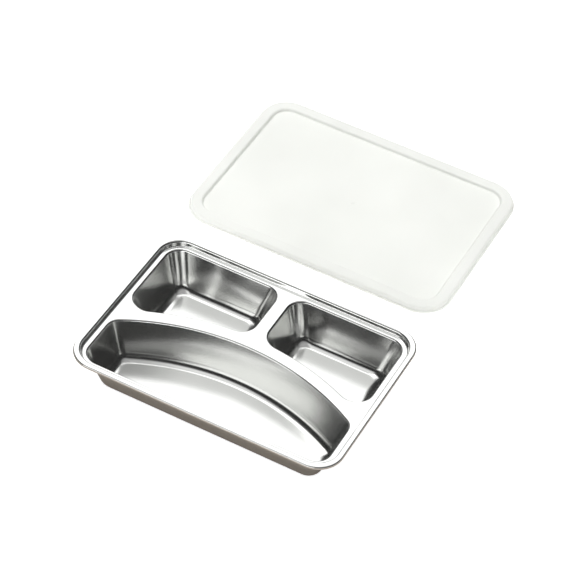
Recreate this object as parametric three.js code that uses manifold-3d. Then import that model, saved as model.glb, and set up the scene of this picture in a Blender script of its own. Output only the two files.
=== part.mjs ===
// Lunch box of two pieces: a stainless-steel tray with three compartments, and its press-on
// plastic lid. Millimetres, +Z up. Both pieces stand on the plane z = 0, the tray in front
// and the lid behind it, top side up. The origin is the middle of the footprint they share.

import * as THREE from 'three';
import { mergeVertices } from 'three/addons/utils/BufferGeometryUtils.js';
import Module from 'manifold-3d';

const wasm = await Module();
wasm.setup();

// Tray: one deep-drawn sheet. The rim's corner radius shrinks by RIM_TAPER of each inset.
const TRAY_LENGTH = 275;
const TRAY_WIDTH = 195;
const TRAY_HEIGHT = 46.7;
const TRAY_CORNER = 26;
const SHEET = 0.7;
const RIM_TAPER = 0.6;
const FLANGE_WIDTH = 6.3;
const FLANGE_BEND = 2.6;
const LIP_BEND = 1.4;
const LIP_DROP = 2.6;
const STEP_DROP = 5.4;
const STEP_DRAFT = THREE.MathUtils.degToRad(15);
const STEP_BEND = 1.0;
const DECK_INSET = 20;

// Compartments: every wall leans by the draft, and the side walls lean SIDE_LEAN times as far.
const LEDGE = 10.4;
const BRIDGE = 10;
const DRAFT = THREE.MathUtils.degToRad(15.5);
const SIDE_LEAN = 1.17;
const EDGE_BEND = 2.2;
const FLOOR_BEND = 10;
const FLOOR_CORNER = 9;
const ARC_RADIUS = 238;
const ARC_APEX = 7;
const CRESCENT_CORNERS = { front: 16, back: 14 };
const BACK_CORNERS = { outerBack: 16, innerBack: 16, innerFront: 18, outerFront: 18 };

// Lid: one moulding of even thickness.
const LID_WALL = 1.1;
const LID_HEIGHT = 6.8;
const LID_CLEARANCE = 3.6;
const LID_LIP = 2;
const LID_CORNER = 32;
const LID_DRAFT = THREE.MathUtils.degToRad(4);
const RIM_WIDTH = 9.9;
const RIM_BEND = 2.2;
const RECESS_DEPTH = 4;
const RECESS_EDGE_BEND = 2.2;
const RECESS_FOOT_BEND = 1.6;
const LIP_FOOT_BEND = 0.6;
const PANEL_INSET = 27;
const GATE_RADIUS = 1.8;
const GATE_HEIGHT = 0.35;

// Where the two pieces stand.
const LID_SHIFT = -21.9;
const LID_GAP = 66.5;

const CORNER_STEPS = 6;
const BEND_STEPS = 3;

const trayTop = TRAY_HEIGHT;
const deckTop = trayTop - STEP_DROP;
const floorTop = SHEET;
const arcCentre = ARC_APEX - ARC_RADIUS;
const compartmentHalfX = TRAY_LENGTH / 2 - LEDGE;
const compartmentHalfY = TRAY_WIDTH / 2 - LEDGE;
const quarter = Math.PI / 2;

function arc(x, y, radius, from, to, steps = CORNER_STEPS) {
  return new THREE.EllipseCurve(x, y, radius, radius, from, to, to < from).getPoints(steps);
}

// Outlines are anticlockwise rings of Vector2 with the same count at every inset.

function roundedRectangle(halfX, halfY, radius) {
  const x = halfX - radius;
  const y = halfY - radius;
  return [
    ...arc(x, y, radius, 0, quarter),
    ...arc(-x, y, radius, quarter, 2 * quarter),
    ...arc(-x, -y, radius, 2 * quarter, 3 * quarter),
    ...arc(x, -y, radius, 3 * quarter, 4 * quarter),
  ];
}

// Height above the arc's centre of a corner circle that touches the arc and a side wall.
function cornerHeight(centreDistance, x) {
  return Math.sqrt(centreDistance ** 2 - x ** 2);
}

// The large front compartment: straight front and sides, and an arched back.
function crescentOutline(insetX, insetY, corner) {
  const halfX = compartmentHalfX - insetX;
  const front = -compartmentHalfY + insetY;
  const radius = ARC_RADIUS - insetY;
  const { front: rFront, back: rBack } = corner(CRESCENT_CORNERS);
  const xFront = halfX - rFront;
  const xBack = halfX - rBack;
  const rise = cornerHeight(radius - rBack, xBack);
  const turn = Math.atan2(rise, xBack);
  const arch = arc(0, arcCentre, radius, turn, Math.PI - turn, 20).slice(1, -1);
  return [
    ...arc(-xFront, front + rFront, rFront, Math.PI, 3 * quarter),
    ...arc(xFront, front + rFront, rFront, 3 * quarter, 4 * quarter),
    ...arc(xBack, arcCentre + rise, rBack, 0, turn),
    ...arch,
    ...arc(-xBack, arcCentre + rise, rBack, Math.PI - turn, Math.PI),
  ];
}

// A back compartment on the +X side: its front wall follows the crescent at the bridge's width.
function backOutline(insetX, insetY, corner) {
  const outer = compartmentHalfX - insetX;
  const inner = BRIDGE / 2 + insetX;
  const back = compartmentHalfY - insetY;
  const radius = ARC_RADIUS + BRIDGE + insetY;
  const { outerBack, innerBack, innerFront, outerFront } = corner(BACK_CORNERS);
  const xInner = inner + innerFront;
  const xOuter = outer - outerFront;
  const yInner = cornerHeight(radius + innerFront, xInner);
  const yOuter = cornerHeight(radius + outerFront, xOuter);
  const turnInner = Math.atan2(yInner, xInner);
  const turnOuter = Math.atan2(yOuter, xOuter);
  const frontWall = arc(0, arcCentre, radius, turnInner, turnOuter, 8).slice(1, -1);
  return [
    ...arc(outer - outerBack, back - outerBack, outerBack, 0, quarter),
    ...arc(inner + innerBack, back - innerBack, innerBack, quarter, Math.PI),
    ...arc(xInner, arcCentre + yInner, innerFront, Math.PI, Math.PI + turnInner),
    ...frontWall,
    ...arc(xOuter, arcCentre + yOuter, outerFront, Math.PI + turnOuter, 4 * quarter),
  ];
}

function mirrored(outline) {
  return (...args) => outline(...args).map((p) => new THREE.Vector2(-p.x, p.y)).reverse();
}

// A section runs along the upper face of a sheet: inset from an outline, height, and the
// face's normal as an angle from +Z, positive where the normal leans away from the outline.

function bend(centreInset, centreHeight, radius, from, to, steps = BEND_STEPS) {
  return Array.from({ length: steps + 1 }, (_, i) => {
    const normal = from + ((to - from) * i) / steps;
    return {
      inset: centreInset + radius * Math.sin(normal),
      height: centreHeight + radius * Math.cos(normal),
      normal,
    };
  });
}

// The same section seen from the sheet's other face.
function offset(section, thickness) {
  return section.map(({ inset, height, normal }) => ({
    inset: inset - thickness * Math.sin(normal),
    height: height - thickness * Math.cos(normal),
    normal,
  }));
}

function ring(outline, height) {
  return outline.map((p) => new THREE.Vector3(p.x, p.y, height));
}

function solidFrom(positions, index) {
  let geometry = new THREE.BufferGeometry();
  geometry.setAttribute('position', new THREE.Float32BufferAttribute(positions, 3));
  geometry.setIndex(index);
  geometry = mergeVertices(geometry, 1e-4);
  return new wasm.Manifold(new wasm.Mesh({
    numProp: 3,
    vertProperties: new Float32Array(geometry.attributes.position.array),
    triVerts: new Uint32Array(geometry.index.array),
  }));
}

function wall(index, count, ringA, ringB) {
  for (let i = 0; i < count; i += 1) {
    const next = (i + 1) % count;
    const [a, b, c, d] = [ringA + i, ringA + next, ringB + next, ringB + i];
    index.push(a, b, c, a, c, d);
  }
}

// A closed body through rings from its lower cap, round the outside, to its upper cap.
function loft(rings) {
  const count = rings[0].length;
  const positions = rings.flat().flatMap((p) => [p.x, p.y, p.z]);
  const index = [];
  for (let k = 0; k + 1 < rings.length; k += 1) wall(index, count, k * count, (k + 1) * count);
  const cap = (first, flip) => {
    const contour = rings[first / count].map((p) => new THREE.Vector2(p.x, p.y));
    for (const [a, b, c] of THREE.ShapeUtils.triangulateShape(contour, [])) {
      if (flip) index.push(first + a, first + c, first + b);
      else index.push(first + a, first + b, first + c);
    }
  };
  cap(0, true);
  cap((rings.length - 1) * count, false);
  return solidFrom(positions, index);
}

function geometryOf(solid) {
  const { vertProperties, triVerts } = solid.getMesh();
  const geometry = new THREE.BufferGeometry();
  geometry.setAttribute('position', new THREE.BufferAttribute(vertProperties, 3));
  geometry.setIndex(new THREE.BufferAttribute(triVerts, 1));
  geometry.computeVertexNormals();
  return geometry;
}

// Flange, turned-down lip, step and deck, from the middle of the deck outwards.
function rimSection() {
  const lean = quarter - STEP_DRAFT;
  const wallHeight = STEP_DROP - (FLANGE_BEND + STEP_BEND) * (1 - Math.cos(lean));
  const footInset = FLANGE_WIDTH + (FLANGE_BEND + STEP_BEND) * Math.sin(lean)
    + wallHeight * Math.tan(STEP_DRAFT) - FLANGE_BEND;
  return [
    { inset: DECK_INSET, height: deckTop, normal: 0 },
    ...bend(footInset, deckTop + STEP_BEND, -STEP_BEND, 0, lean),
    ...bend(FLANGE_WIDTH - FLANGE_BEND, trayTop - FLANGE_BEND, FLANGE_BEND, lean, 0),
    ...bend(LIP_BEND, trayTop - LIP_BEND, LIP_BEND, 0, -quarter),
    { inset: 0, height: trayTop - LIP_DROP, normal: -quarter },
  ];
}

// Compartment wall from its rounded edge at the deck down to the floor.
function compartmentSection() {
  const lean = quarter - DRAFT;
  const bends = EDGE_BEND + FLOOR_BEND;
  const wallHeight = deckTop - floorTop - bends * (1 - Math.cos(lean));
  const floorInset = bends * Math.sin(lean) + wallHeight * Math.tan(DRAFT);
  return [
    ...bend(0, deckTop - EDGE_BEND, EDGE_BEND, quarter / 4, lean),
    ...bend(floorInset, floorTop + FLOOR_BEND, -FLOOR_BEND, lean, 0, 5),
  ];
}

function sweepRings(section, outlineAt) {
  return section.map((point) => ring(outlineAt(point), point.height));
}

// The space a compartment takes: its upper face, or its lower one when thickness is given.
function compartmentSolid(outline, thickness, topHeight) {
  const section = compartmentSection();
  const floorInset = section[section.length - 1].inset;
  const rings = section.map(({ inset, height, normal }) => {
    const out = thickness * Math.sin(normal);
    const depth = inset / floorInset;
    const corner = (radii) => Object.fromEntries(Object.entries(radii)
      .map(([name, r]) => [name, r + (FLOOR_CORNER - r) * depth + out]));
    const points = outline(inset * SIDE_LEAN - out, inset - out, corner);
    return ring(points, height - thickness * Math.cos(normal));
  });
  const mouth = rings[0].map((p) => new THREE.Vector3(p.x, p.y, topHeight));
  return loft([mouth, ...rings].reverse());
}

function trayGeometry() {
  const upper = rimSection();
  const lower = offset(upper, SHEET);
  const outlineAt = ({ inset }) => roundedRectangle(
    TRAY_LENGTH / 2 - inset,
    TRAY_WIDTH / 2 - inset,
    TRAY_CORNER - inset * RIM_TAPER,
  );
  let tray = loft([
    ...sweepRings(lower, outlineAt),
    ...sweepRings([...upper].reverse(), outlineAt),
  ]);
  const outlines = [crescentOutline, backOutline, mirrored(backOutline)];
  for (const outline of outlines) {
    tray = tray.add(compartmentSolid(outline, SHEET, deckTop - SHEET / 2));
  }
  for (const outline of outlines) {
    tray = tray.subtract(compartmentSolid(outline, 0, deckTop + STEP_DROP));
  }
  return geometryOf(tray);
}

// Half sizes of the lid over its lip, from the tray it fits.
const skirtReach = LID_CLEARANCE + LID_WALL;
const skirtLean = (LID_HEIGHT - LID_WALL) * Math.tan(LID_DRAFT);
const lidOverhang = skirtReach + skirtLean + LID_LIP;
const lidHalfX = TRAY_LENGTH / 2 + lidOverhang;
const lidHalfY = TRAY_WIDTH / 2 + lidOverhang;

// Lid's upper face: sunken panel, recess wall, rim, skirt and lip, from the middle outwards.
function lidSection() {
  const lean = quarter - LID_DRAFT;
  const rimOuter = LID_LIP + skirtLean;
  const rimInner = rimOuter + RIM_WIDTH;
  const bends = RECESS_EDGE_BEND + RECESS_FOOT_BEND;
  const recessWall = RECESS_DEPTH - bends * (1 - Math.cos(lean));
  const panelEdge = rimInner + bends * Math.sin(lean) + recessWall * Math.tan(LID_DRAFT);
  const panelTop = LID_HEIGHT - RECESS_DEPTH;
  return [
    { inset: PANEL_INSET, height: panelTop, normal: 0 },
    ...bend(panelEdge, panelTop + RECESS_FOOT_BEND, -RECESS_FOOT_BEND, 0, lean),
    ...bend(rimInner, LID_HEIGHT - RECESS_EDGE_BEND, RECESS_EDGE_BEND, lean, 0),
    ...bend(rimOuter + RIM_BEND, LID_HEIGHT - RIM_BEND, RIM_BEND, 0, -lean),
    ...bend(LID_LIP - LIP_FOOT_BEND, LID_WALL + LIP_FOOT_BEND, -LIP_FOOT_BEND, -lean, 0),
    { inset: LID_WALL / 4, height: LID_WALL, normal: 0 },
  ];
}

function lidOutline({ inset }) {
  return roundedRectangle(lidHalfX - inset, lidHalfY - inset, LID_CORNER - inset);
}

// The small raised mark that the moulding gate leaves in the middle of the panel.
function gateMark() {
  const base = LID_HEIGHT - RECESS_DEPTH - LID_WALL / 2;
  const top = LID_HEIGHT - RECESS_DEPTH + GATE_HEIGHT;
  const profile = [
    new THREE.Vector2(0, base),
    new THREE.Vector2(GATE_RADIUS, base),
    new THREE.Vector2(GATE_RADIUS, top - GATE_HEIGHT / 2),
    new THREE.Vector2(GATE_RADIUS - GATE_HEIGHT, top),
    new THREE.Vector2(0, top),
  ];
  const geometry = new THREE.LatheGeometry(profile, 16).rotateX(quarter);
  geometry.deleteAttribute('normal');
  geometry.deleteAttribute('uv');
  return solidFrom(geometry.attributes.position.array, Array.from(geometry.index.array));
}

function lidGeometry() {
  const upper = lidSection();
  const lower = offset(upper, LID_WALL);
  const lipEdge = { inset: 0, height: LID_WALL / 2 };
  const body = loft(sweepRings([...lower, lipEdge, ...[...upper].reverse()], lidOutline));
  return geometryOf(body.add(gateMark()));
}

const steel = new THREE.MeshStandardMaterial({
  name: 'stainless_steel',
  color: 0xc8cbcc,
  metalness: 1,
  roughness: 0.28,
});

const frostedPlastic = new THREE.MeshStandardMaterial({
  name: 'frosted_plastic',
  color: 0xf2f3ea,
  metalness: 0,
  roughness: 0.45,
});

const tray = new THREE.Mesh(trayGeometry(), steel);
tray.name = 'tray';

const lid = new THREE.Mesh(lidGeometry(), frostedPlastic);
lid.name = 'lid';
lid.position.set(LID_SHIFT, TRAY_WIDTH / 2 + LID_GAP + lidHalfY, 0);

// The footprint runs from the lid's left edge to the tray's right one, and from front to back.
const footprint = new THREE.Box2(
  new THREE.Vector2(LID_SHIFT - lidHalfX, -TRAY_WIDTH / 2),
  new THREE.Vector2(TRAY_LENGTH / 2, lid.position.y + lidHalfY),
);
const middle = footprint.getCenter(new THREE.Vector2());

const lunchBox = new THREE.Group();
lunchBox.position.set(-middle.x, -middle.y, 0);
lunchBox.add(tray, lid);

export default lunchBox;
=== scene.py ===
"""Looks of a lunch box: a stainless-steel tray with three compartments, and its frosted lid.

Shapes are built in millimetres about the middle of each piece and its lowest plane, then put
where the CAD piece is. Dimensions are those of the CAD part.
"""
import math

import bpy
import numpy as np
from mathutils import Matrix, Vector
from mathutils.geometry import tessellate_polygon

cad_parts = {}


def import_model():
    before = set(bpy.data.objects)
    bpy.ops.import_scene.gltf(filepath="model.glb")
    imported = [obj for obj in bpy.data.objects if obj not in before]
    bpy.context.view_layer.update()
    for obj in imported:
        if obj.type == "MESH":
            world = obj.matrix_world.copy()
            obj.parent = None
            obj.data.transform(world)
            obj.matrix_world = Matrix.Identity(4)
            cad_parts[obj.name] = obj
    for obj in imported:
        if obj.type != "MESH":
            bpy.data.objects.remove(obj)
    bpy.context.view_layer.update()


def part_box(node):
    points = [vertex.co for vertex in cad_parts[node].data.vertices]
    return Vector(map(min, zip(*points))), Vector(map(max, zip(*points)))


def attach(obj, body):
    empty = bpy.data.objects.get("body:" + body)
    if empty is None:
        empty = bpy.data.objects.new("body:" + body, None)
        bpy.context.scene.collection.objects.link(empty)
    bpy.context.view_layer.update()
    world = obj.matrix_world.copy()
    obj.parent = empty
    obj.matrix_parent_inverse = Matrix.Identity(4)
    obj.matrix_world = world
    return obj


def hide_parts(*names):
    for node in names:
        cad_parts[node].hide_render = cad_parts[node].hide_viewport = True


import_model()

MM = 0.001

# ---------------------------------------------------------------- dimensions, in millimetres

SHEET = 0.7
TRAY_CORNER = 26
RIM_TAPER = 0.6  # how much the rim's corner radius shrinks for each millimetre of inset
FLANGE_WIDTH = 6.3
FLANGE_BEND = 2.6
LIP_BEND = 1.4
LIP_DROP = 2.6
STEP_DROP = 5.4
STEP_DRAFT = math.radians(15)
STEP_BEND = 1.0

LEDGE = 10.4  # from the tray's outer edge to the compartments
BRIDGE = 10  # the deck between two compartments
DRAFT = math.radians(15.5)
SIDE_LEAN = 1.17  # the side walls' run, as a multiple of the front and back walls'
EDGE_BEND = 2.2
FLOOR_BEND = 10
FLOOR_CORNER = 9
ARC_RADIUS = 238
ARC_APEX = 7  # how far the crescent's arch passes the middle of the tray
CRESCENT_CORNERS = {"front": 16, "back": 14}
BACK_CORNERS = {"outer_back": 16, "inner_back": 16, "inner_front": 18, "outer_front": 18}

LID_WALL = 1.1
LID_LIP = 2.0
LID_CORNER = 32
LID_DRAFT = math.radians(4)
RIM_WIDTH = 9.9
RIM_BEND = 2.2
RECESS_DEPTH = 4
RECESS_EDGE_BEND = 2.2
RECESS_FOOT_BEND = 1.6
LIP_FOOT_BEND = 0.6
GATE_RADIUS = 1.8
GATE_HEIGHT = 0.35
GATE_BEND = 0.35

CORNER_STEPS = 28
ARCH_STEPS = 90
BEND_STEPS = 10
WALL_STEPS = 8
LONG_STRETCH = 4  # a straight stretch of a section longer than this is divided
EDGE_STEPS = 6
GATE_STEPS = 48
GATE_BEND_STEPS = 4


def extent(node):
    """Size of a CAD node in millimetres, and the middle of its base in metres."""
    low, high = (Vector(corner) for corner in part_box(node))
    size = (high - low) / MM
    base = Vector(((low.x + high.x) / 2, (low.y + high.y) / 2, low.z))
    return size, base


tray_size, tray_base = extent("tray")
lid_size, lid_base = extent("lid")

tray_top = tray_size.z
deck_top = tray_top - STEP_DROP
floor_top = SHEET
arc_centre = ARC_APEX - ARC_RADIUS
compartment_half_x = tray_size.x / 2 - LEDGE
compartment_half_y = tray_size.y / 2 - LEDGE
lid_height = lid_size.z

# ---------------------------------------------------------------- outlines
# An outline is (points, tangents), anticlockwise, with the same count at every inset.


def arc(x, y, radius, start, end, steps=CORNER_STEPS):
    turn = np.linspace(start, end, steps + 1)
    out = np.stack([np.cos(turn), np.sin(turn)], axis=1)
    along = np.stack([-np.sin(turn), np.cos(turn)], axis=1) * (1 if end > start else -1)
    return np.array([x, y]) + radius * out, along


def joined(*parts):
    return np.concatenate([p for p, _ in parts]), np.concatenate([t for _, t in parts])


def inner_part(part):
    return part[0][1:-1], part[1][1:-1]


def rounded_rectangle(half_x, half_y, radius):
    x, y, q = half_x - radius, half_y - radius, math.pi / 2
    return joined(
        arc(x, y, radius, 0, q),
        arc(-x, y, radius, q, 2 * q),
        arc(-x, -y, radius, 2 * q, 3 * q),
        arc(x, -y, radius, 3 * q, 4 * q),
    )


def crescent_outline(inset_x, inset_y, corner):
    """The large front compartment: straight front and sides, and an arched back."""
    q = math.pi / 2
    half_x = compartment_half_x - inset_x
    front = -compartment_half_y + inset_y
    radius = ARC_RADIUS - inset_y
    r_front, r_back = corner(CRESCENT_CORNERS["front"]), corner(CRESCENT_CORNERS["back"])
    x_front, x_back = half_x - r_front, half_x - r_back
    rise = math.sqrt((radius - r_back) ** 2 - x_back**2)
    turn = math.atan2(rise, x_back)
    return joined(
        arc(-x_front, front + r_front, r_front, 2 * q, 3 * q),
        arc(x_front, front + r_front, r_front, 3 * q, 4 * q),
        arc(x_back, arc_centre + rise, r_back, 0, turn),
        inner_part(arc(0, arc_centre, radius, turn, math.pi - turn, ARCH_STEPS)),
        arc(-x_back, arc_centre + rise, r_back, math.pi - turn, math.pi),
    )


def back_outline(inset_x, inset_y, corner):
    """The back compartment on the +X side: its front wall follows the crescent's arch."""
    q = math.pi / 2
    outer = compartment_half_x - inset_x
    inner = BRIDGE / 2 + inset_x
    back = compartment_half_y - inset_y
    radius = ARC_RADIUS + BRIDGE + inset_y
    r = {name: corner(value) for name, value in BACK_CORNERS.items()}
    x_inner, x_outer = inner + r["inner_front"], outer - r["outer_front"]
    y_inner = math.sqrt((radius + r["inner_front"]) ** 2 - x_inner**2)
    y_outer = math.sqrt((radius + r["outer_front"]) ** 2 - x_outer**2)
    turn_inner, turn_outer = math.atan2(y_inner, x_inner), math.atan2(y_outer, x_outer)
    return joined(
        arc(outer - r["outer_back"], back - r["outer_back"], r["outer_back"], 0, q),
        arc(inner + r["inner_back"], back - r["inner_back"], r["inner_back"], q, 2 * q),
        arc(x_inner, arc_centre + y_inner, r["inner_front"], math.pi, math.pi + turn_inner),
        inner_part(arc(0, arc_centre, radius, turn_inner, turn_outer, ARCH_STEPS // 2)),
        arc(x_outer, arc_centre + y_outer, r["outer_front"], math.pi + turn_outer, 4 * q),
    )


def mirrored(outline):
    def other_side(*args):
        points, tangents = outline(*args)
        return (points * [-1, 1])[::-1], (tangents * [1, -1])[::-1]

    return other_side


# ---------------------------------------------------------------- sections
# A section is a list of (inset, height, normal) along the upper face, from the outside to the
# middle. The normal is an angle from +Z, positive where it leans towards the middle.


def bend(inset, height, radius, start, end, steps=BEND_STEPS):
    return [
        (inset + radius * math.sin(t), height + radius * math.cos(t), t)
        for t in np.linspace(start, end, steps + 1)
    ]


def with_walls(section):
    """The section with every long straight stretch divided, so that corners stay round."""
    out = [section[0]]
    for before, after in zip(section, section[1:]):
        length = math.hypot(after[0] - before[0], after[1] - before[1])
        if length > LONG_STRETCH and math.isclose(after[2], before[2]):
            for share in np.linspace(0, 1, WALL_STEPS + 1)[1:-1]:
                out.append(tuple(a + (b - a) * share for a, b in zip(before, after)))
        out.append(after)
    return out


def rim_section():
    """Turned-down lip, flange and step, down to the deck."""
    lean = math.pi / 2 - STEP_DRAFT
    bend_height = tray_top - FLANGE_BEND
    wall = STEP_DROP - (FLANGE_BEND + STEP_BEND) * (1 - math.cos(lean))
    foot = (
        FLANGE_WIDTH
        + (FLANGE_BEND + STEP_BEND) * math.sin(lean)
        + wall * math.tan(STEP_DRAFT)
        - FLANGE_BEND
    )
    return [
        (0, tray_top - LIP_DROP, -math.pi / 2),
        *bend(LIP_BEND, tray_top - LIP_BEND, LIP_BEND, -math.pi / 2, 0),
        *bend(FLANGE_WIDTH - FLANGE_BEND, bend_height, FLANGE_BEND, 0, lean),
        *bend(foot, deck_top + STEP_BEND, -STEP_BEND, lean, 0),
    ]


def compartment_section():
    """Rounded edge at the deck, wall, and the bend into the floor."""
    lean = math.pi / 2 - DRAFT
    bends = EDGE_BEND + FLOOR_BEND
    wall = deck_top - floor_top - bends * (1 - math.cos(lean))
    foot = bends * math.sin(lean) + wall * math.tan(DRAFT)
    return with_walls(
        [
            *bend(0, deck_top - EDGE_BEND, EDGE_BEND, 0, lean),
            *bend(foot, floor_top + FLOOR_BEND, -FLOOR_BEND, lean, 0, 2 * BEND_STEPS),
        ]
    )


def lid_section():
    """Lip, skirt, rim, recess wall, down to the sunken panel."""
    lean = math.pi / 2 - LID_DRAFT
    rim_outer = LID_LIP + (lid_height - LID_WALL) * math.tan(LID_DRAFT)
    rim_inner = rim_outer + RIM_WIDTH
    bends = RECESS_EDGE_BEND + RECESS_FOOT_BEND
    recess_wall = RECESS_DEPTH - bends * (1 - math.cos(lean))
    panel_edge = rim_inner + bends * math.sin(lean) + recess_wall * math.tan(LID_DRAFT)
    panel_top = lid_height - RECESS_DEPTH
    return [
        (LID_WALL / 2, LID_WALL, 0),
        *bend(LID_LIP - LIP_FOOT_BEND, LID_WALL + LIP_FOOT_BEND, -LIP_FOOT_BEND, 0, -lean),
        *bend(rim_outer + RIM_BEND, lid_height - RIM_BEND, RIM_BEND, -lean, 0),
        *bend(rim_inner, lid_height - RECESS_EDGE_BEND, RECESS_EDGE_BEND, 0, lean),
        *bend(panel_edge, panel_top + RECESS_FOOT_BEND, -RECESS_FOOT_BEND, lean, 0),
    ]


def gate_section():
    """The small raised mark that the moulding gate leaves in the panel."""
    panel_top = lid_height - RECESS_DEPTH
    rise = math.pi / 3
    top_edge = 2 * GATE_BEND * math.sin(rise)
    foot = bend(0, panel_top + GATE_BEND, -GATE_BEND, 0, -rise, GATE_BEND_STEPS)
    edge = bend(
        top_edge, panel_top + GATE_HEIGHT - GATE_BEND, GATE_BEND, -rise, 0, GATE_BEND_STEPS
    )
    return [*foot, *edge[1:]]


# ---------------------------------------------------------------- surfaces


def sweep(section, outline_at):
    """Rings of points and of normals: arrays of (rings, count, 3)."""
    points, normals = [], []
    nudge = 1e-3
    for inset, height, lean in section:
        ring, along = outline_at(inset)
        inward = (outline_at(inset + nudge)[0] - outline_at(inset - nudge)[0]) / (2 * nudge)
        points.append(np.column_stack([ring, np.full(len(ring), height)]))
        down = np.column_stack([inward * math.cos(lean), np.full(len(ring), -math.sin(lean))])
        normal = np.cross(np.column_stack([along, np.zeros(len(ring))]), down)
        normals.append(normal / np.linalg.norm(normal, axis=1, keepdims=True))
    return np.array(points), np.array(normals)


class Skin:
    """Vertices with exact normals, and faces that share them."""

    def __init__(self):
        self.points, self.normals, self.faces = [], [], []

    def add(self, points, normals):
        start = len(self.points)
        self.points.extend(map(tuple, points))
        self.normals.extend(map(tuple, normals))
        return list(range(start, start + len(points)))

    def band(self, outer, inner):
        count = len(outer)
        for i in range(count):
            j = (i + 1) % count
            self.faces.append((outer[i], outer[j], inner[j], inner[i]))

    def swept(self, section, outline_at):
        """Adds a swept surface, and returns its first and last rings."""
        rings = [self.add(p, n) for p, n in zip(*sweep(section, outline_at))]
        for outer, inner in zip(rings, rings[1:]):
            self.band(outer, inner)
        return rings[0], rings[-1]

    def flat(self, *rings):
        """Fills the level face between an outer ring and any rings inside it."""
        lines = [[Vector(self.points[i]) for i in ring] for ring in rings]
        flat_index = [i for ring in rings for i in ring]
        for triangle in tessellate_polygon(lines):
            a, b, c = (flat_index[i] for i in triangle)
            pa, pb, pc = (Vector(self.points[i]) for i in (a, b, c))
            up = (pb - pa).cross(pc - pa).z
            self.faces.append((a, b, c) if up > 0 else (a, c, b))

    def thickened(self, thickness, edge):
        """Adds the other face of the sheet, and a rounded edge along one ring of it."""
        count = len(self.points)
        upper, normals = np.array(self.points), np.array(self.normals)
        self.add(upper - thickness * normals, -normals)
        self.faces += [tuple(count + i for i in reversed(face)) for face in self.faces]
        middle = upper[edge] - thickness / 2 * normals[edge]
        ring_next = np.roll(upper[edge], -1, axis=0) - np.roll(upper[edge], 1, axis=0)
        side = np.cross(ring_next, normals[edge])
        side /= np.linalg.norm(side, axis=1, keepdims=True)
        previous = list(edge)
        for turn in np.linspace(0, math.pi, EDGE_STEPS + 1)[1:]:
            out = math.cos(turn) * normals[edge] + math.sin(turn) * side
            if turn < math.pi:
                ring = self.add(middle + thickness / 2 * out, out)
            else:
                ring = [count + i for i in edge]
            self.band(ring, previous)
            previous = ring


def piece(name, skin, base, material, node):
    """A smooth mesh with exact normals, in place of a CAD node and riding with its body."""
    mesh = bpy.data.meshes.new(name)
    mesh.from_pydata([Vector(p) * MM + base for p in skin.points], [], skin.faces)
    mesh.validate()
    mesh.shade_smooth()
    mesh.normals_split_custom_set_from_vertices([Vector(n) for n in skin.normals])
    mesh.materials.append(material)
    obj = bpy.data.objects.new(name, mesh)
    bpy.context.scene.collection.objects.link(obj)
    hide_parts(node)
    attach(obj, node)
    return obj


def tray_skin():
    skin = Skin()

    def rim_at(inset):
        return rounded_rectangle(
            tray_size.x / 2 - inset, tray_size.y / 2 - inset, TRAY_CORNER - inset * RIM_TAPER
        )

    lip, deck = skin.swept(rim_section(), rim_at)
    section = compartment_section()
    foot = section[-1][0]
    mouths = []
    for outline in (crescent_outline, back_outline, mirrored(back_outline)):

        def compartment_at(inset):
            depth = inset / foot
            return outline(inset * SIDE_LEAN, inset, lambda r: r + (FLOOR_CORNER - r) * depth)

        mouth, bottom = skin.swept(section, compartment_at)
        skin.flat(bottom)
        mouths.append(mouth)
    skin.flat(deck, *mouths)
    skin.thickened(SHEET, lip)
    return skin


def lid_skin():
    skin = Skin()

    def rim_at(inset):
        return rounded_rectangle(
            lid_size.x / 2 - inset, lid_size.y / 2 - inset, LID_CORNER - inset
        )

    def gate_at(inset):
        last_turn = 2 * math.pi * (1 - 1 / GATE_STEPS)
        return arc(0, 0, GATE_RADIUS + GATE_BEND - inset, 0, last_turn, GATE_STEPS - 1)

    lip, panel = skin.swept(lid_section(), rim_at)
    gate_edge, gate_top = skin.swept(gate_section(), gate_at)
    skin.flat(panel, gate_edge)
    skin.flat(gate_top)
    skin.thickened(LID_WALL, lip)
    return skin


# ---------------------------------------------------------------- materials


def material(name, **inputs):
    """A material, its node tree and its main shader, whose inputs are named with underscores."""
    made = bpy.data.materials.new(name)
    made.use_nodes = True
    surface = made.node_tree.nodes["Principled BSDF"]
    for socket, value in inputs.items():
        surface.inputs[socket.replace("_", " ")].default_value = value
    return made, made.node_tree, surface


def noise(tree, scale, detail):
    """Noise in the object's own coordinates, so it moves with the object."""
    place = tree.nodes.new("ShaderNodeTexCoord")
    texture = tree.nodes.new("ShaderNodeTexNoise")
    texture.inputs["Scale"].default_value = scale
    texture.inputs["Detail"].default_value = detail
    tree.links.new(place.outputs["Object"], texture.inputs["Vector"])
    return texture.outputs["Fac"]


def bump(tree, height, strength, distance):
    node = tree.nodes.new("ShaderNodeBump")
    node.inputs["Strength"].default_value = strength
    node.inputs["Distance"].default_value = distance
    tree.links.new(height, node.inputs["Height"])
    return node


def colour_ramp(tree, factor, stops):
    """A colour ramp from a list of (position, colour)."""
    ramp = tree.nodes.new("ShaderNodeValToRGB")
    elements = ramp.color_ramp.elements
    for _ in stops[2:]:
        elements.new(1)
    for element, (position, colour) in zip(elements, stops):
        element.position = position
        element.color = (*colour, 1)
    tree.links.new(factor, ramp.inputs["Fac"])
    return ramp.outputs["Color"]


def steel():
    """Satin steel: a drawn sheet's slight waves, with a fine grain over them."""
    made, tree, surface = material(
        "brushed steel", Base_Color=(0.85, 0.855, 0.84, 1), Metallic=1.0, Roughness=0.18
    )
    waves = bump(tree, noise(tree, scale=14, detail=1), strength=1, distance=0.0006)
    grain = bump(tree, noise(tree, scale=1800, detail=2), strength=0.03, distance=0.00005)
    tree.links.new(waves.outputs["Normal"], grain.inputs["Normal"])
    tree.links.new(grain.outputs["Normal"], surface.inputs["Normal"])
    return made


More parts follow.
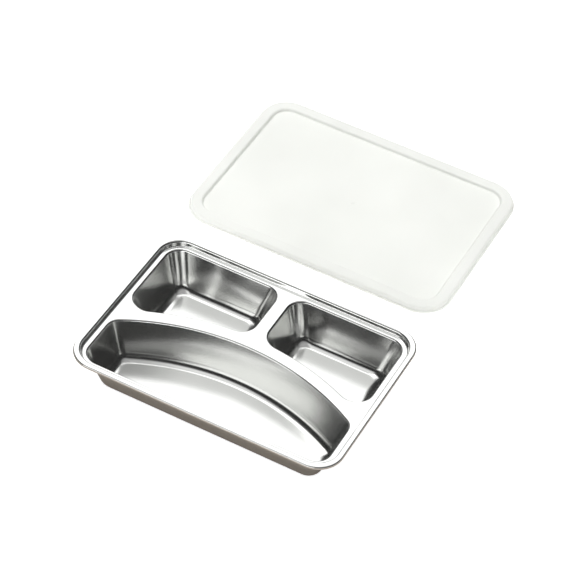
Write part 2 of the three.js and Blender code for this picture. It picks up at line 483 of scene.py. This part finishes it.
def frosted_plastic():
    """Milky plastic: faintly cloudy, with a fine frosting."""
    made, tree, surface = material(
        "frosted plastic",
        Roughness=0.42,
        IOR=1.49,
        Subsurface_Weight=0.5,
        Subsurface_Scale=0.0015,
        Subsurface_Radius=(1, 1, 1),
    )
    clouds = noise(tree, scale=9, detail=2)
    tone = colour_ramp(tree, clouds, [(0.35, (0.78, 0.79, 0.76)), (0.65, (0.82, 0.83, 0.80))])
    frost = bump(tree, noise(tree, scale=2500, detail=1), strength=0.1, distance=0.00005)
    tree.links.new(tone, surface.inputs["Base Color"])
    tree.links.new(frost.outputs["Normal"], surface.inputs["Normal"])
    return made


piece("tray_shell", tray_skin(), tray_base, steel(), "tray")
piece("lid_shell", lid_skin(), lid_base, frosted_plastic(), "lid")

# ---------------------------------------------------------------- floor, light and camera
# Lengths are in metres from here on.

GROUND_SIZE = 12
GROUND_DROP = 0.0003
GROUND_COLOUR = (0.9, 0.9, 0.9)
GROUND_GLOW = 0.8
# The floor's colour for glossy rays only, darker and warmer than the floor itself: a painted
# reflection that shades the tray's outer walls.
GROUND_SHADE_IN_STEEL = (0.44, 0.39, 0.345)

# Brightness of the room by the height of the direction looked in, from 0, level, to 1, upright.
ROOM_BRIGHTNESS = [(0.08, 0.9), (0.2, 0.03), (0.8, 0.03), (0.95, 0.4)]

CAMERA_AZIMUTH = math.radians(24.14)
CAMERA_ELEVATION = math.radians(45.25)
CAMERA_ROLL = math.radians(5.47)
CAMERA_DISTANCE = 2.2022
CAMERA_LENS = 145.88
CAMERA_SENSOR = 36
CAMERA_AIM = Vector((-0.0028, 0.0876, 0))
CAMERA_REACH = 50


def floor():
    """A pale floor that glows a little; glossy reflections see a darker taupe matt one instead, a
    painted reflection that shades the steel's outer walls.
    """
    bpy.ops.mesh.primitive_plane_add(size=GROUND_SIZE, location=(0, 0, -GROUND_DROP))
    plane = bpy.context.object
    plane.name = "floor"
    made, tree, surface = material(
        "pale floor",
        Base_Color=(*GROUND_COLOUR, 1),
        Roughness=0.9,
        Specular_IOR_Level=0,
        Emission_Color=(1, 1, 1, 1),
        Emission_Strength=GROUND_GLOW,
    )
    nodes, links = tree.nodes, tree.links
    reflected = nodes.new("ShaderNodeBsdfDiffuse")
    reflected.inputs["Color"].default_value = (*GROUND_SHADE_IN_STEEL, 1)
    ray = nodes.new("ShaderNodeLightPath")
    mix = nodes.new("ShaderNodeMixShader")
    links.new(ray.outputs["Is Glossy Ray"], mix.inputs["Fac"])
    links.new(surface.outputs["BSDF"], mix.inputs[1])
    links.new(reflected.outputs["BSDF"], mix.inputs[2])
    links.new(mix.outputs["Shader"], nodes["Material Output"].inputs["Surface"])
    plane.data.materials.append(made)


def world():
    """A dark room over a pale horizon, with a grey ceiling."""
    made = bpy.data.worlds.new("studio")
    bpy.context.scene.world = made
    made.use_nodes = True
    tree = made.node_tree
    place = tree.nodes.new("ShaderNodeTexCoord")
    parts = tree.nodes.new("ShaderNodeSeparateXYZ")
    tree.links.new(place.outputs["Generated"], parts.inputs["Vector"])
    greys = [(height, (grey, grey, grey)) for height, grey in ROOM_BRIGHTNESS]
    room = colour_ramp(tree, parts.outputs["Z"], greys)
    tree.links.new(room, tree.nodes["Background"].inputs["Color"])


def soft_light(name, direction, distance, width, height, radiance):
    """A panel that faces the object from that direction, in metres."""
    data = bpy.data.lights.new(name, "AREA")
    data.shape = "RECTANGLE"
    data.size, data.size_y = width, height
    data.energy = radiance * math.pi * width * height
    obj = bpy.data.objects.new(name, data)
    bpy.context.scene.collection.objects.link(obj)
    direction = Vector(direction).normalized()
    obj.location = direction * distance
    obj.rotation_mode = "QUATERNION"
    obj.rotation_quaternion = direction.to_track_quat("Z", "Y")
    return obj


def lights():
    """The softbox shows only in the steel, and the dome lights only what is matt."""
    softbox = soft_light(
        "back_softbox", (-0.45, 0.60, 0.66), distance=2.54, width=2.6, height=3.2, radiance=1.35
    )
    softbox.visible_diffuse = False
    soft_light("top_fill", (-0.28, -0.12, 0.95), distance=2.4, width=2.0, height=0.8, radiance=0.5)
    dome = soft_light("dome", (0, 0, 1), distance=4.0, width=6.0, height=6.0, radiance=2.08)
    dome.visible_glossy = False
    soft_light(
        "front_strip", (-0.10, -0.96, 0.26), distance=3.0, width=3.2, height=1.0, radiance=2.0
    )


def camera():
    """Looks at a point beside the middle of the tray's top, which CAMERA_AIM gives in metres."""
    data = bpy.data.cameras.new("camera")
    data.lens = CAMERA_LENS
    data.sensor_width = CAMERA_SENSOR
    data.clip_end = CAMERA_REACH
    obj = bpy.data.objects.new("camera", data)
    bpy.context.scene.collection.objects.link(obj)
    back = Vector(
        (
            math.sin(CAMERA_AZIMUTH) * math.cos(CAMERA_ELEVATION),
            -math.cos(CAMERA_AZIMUTH) * math.cos(CAMERA_ELEVATION),
            math.sin(CAMERA_ELEVATION),
        )
    )
    level = Vector((math.cos(CAMERA_AZIMUTH), math.sin(CAMERA_AZIMUTH), 0))
    right = Matrix.Rotation(CAMERA_ROLL, 3, back) @ level
    up = back.cross(right)
    aim = tray_base + Vector((0, 0, tray_top * MM)) + CAMERA_AIM
    turn = Matrix((right, up, back)).transposed()
    obj.matrix_world = Matrix.Translation(aim + back * CAMERA_DISTANCE) @ turn.to_4x4()
    bpy.context.scene.camera = obj


floor()
world()
lights()
camera()
bpy.context.scene.view_settings.view_transform = "Standard"
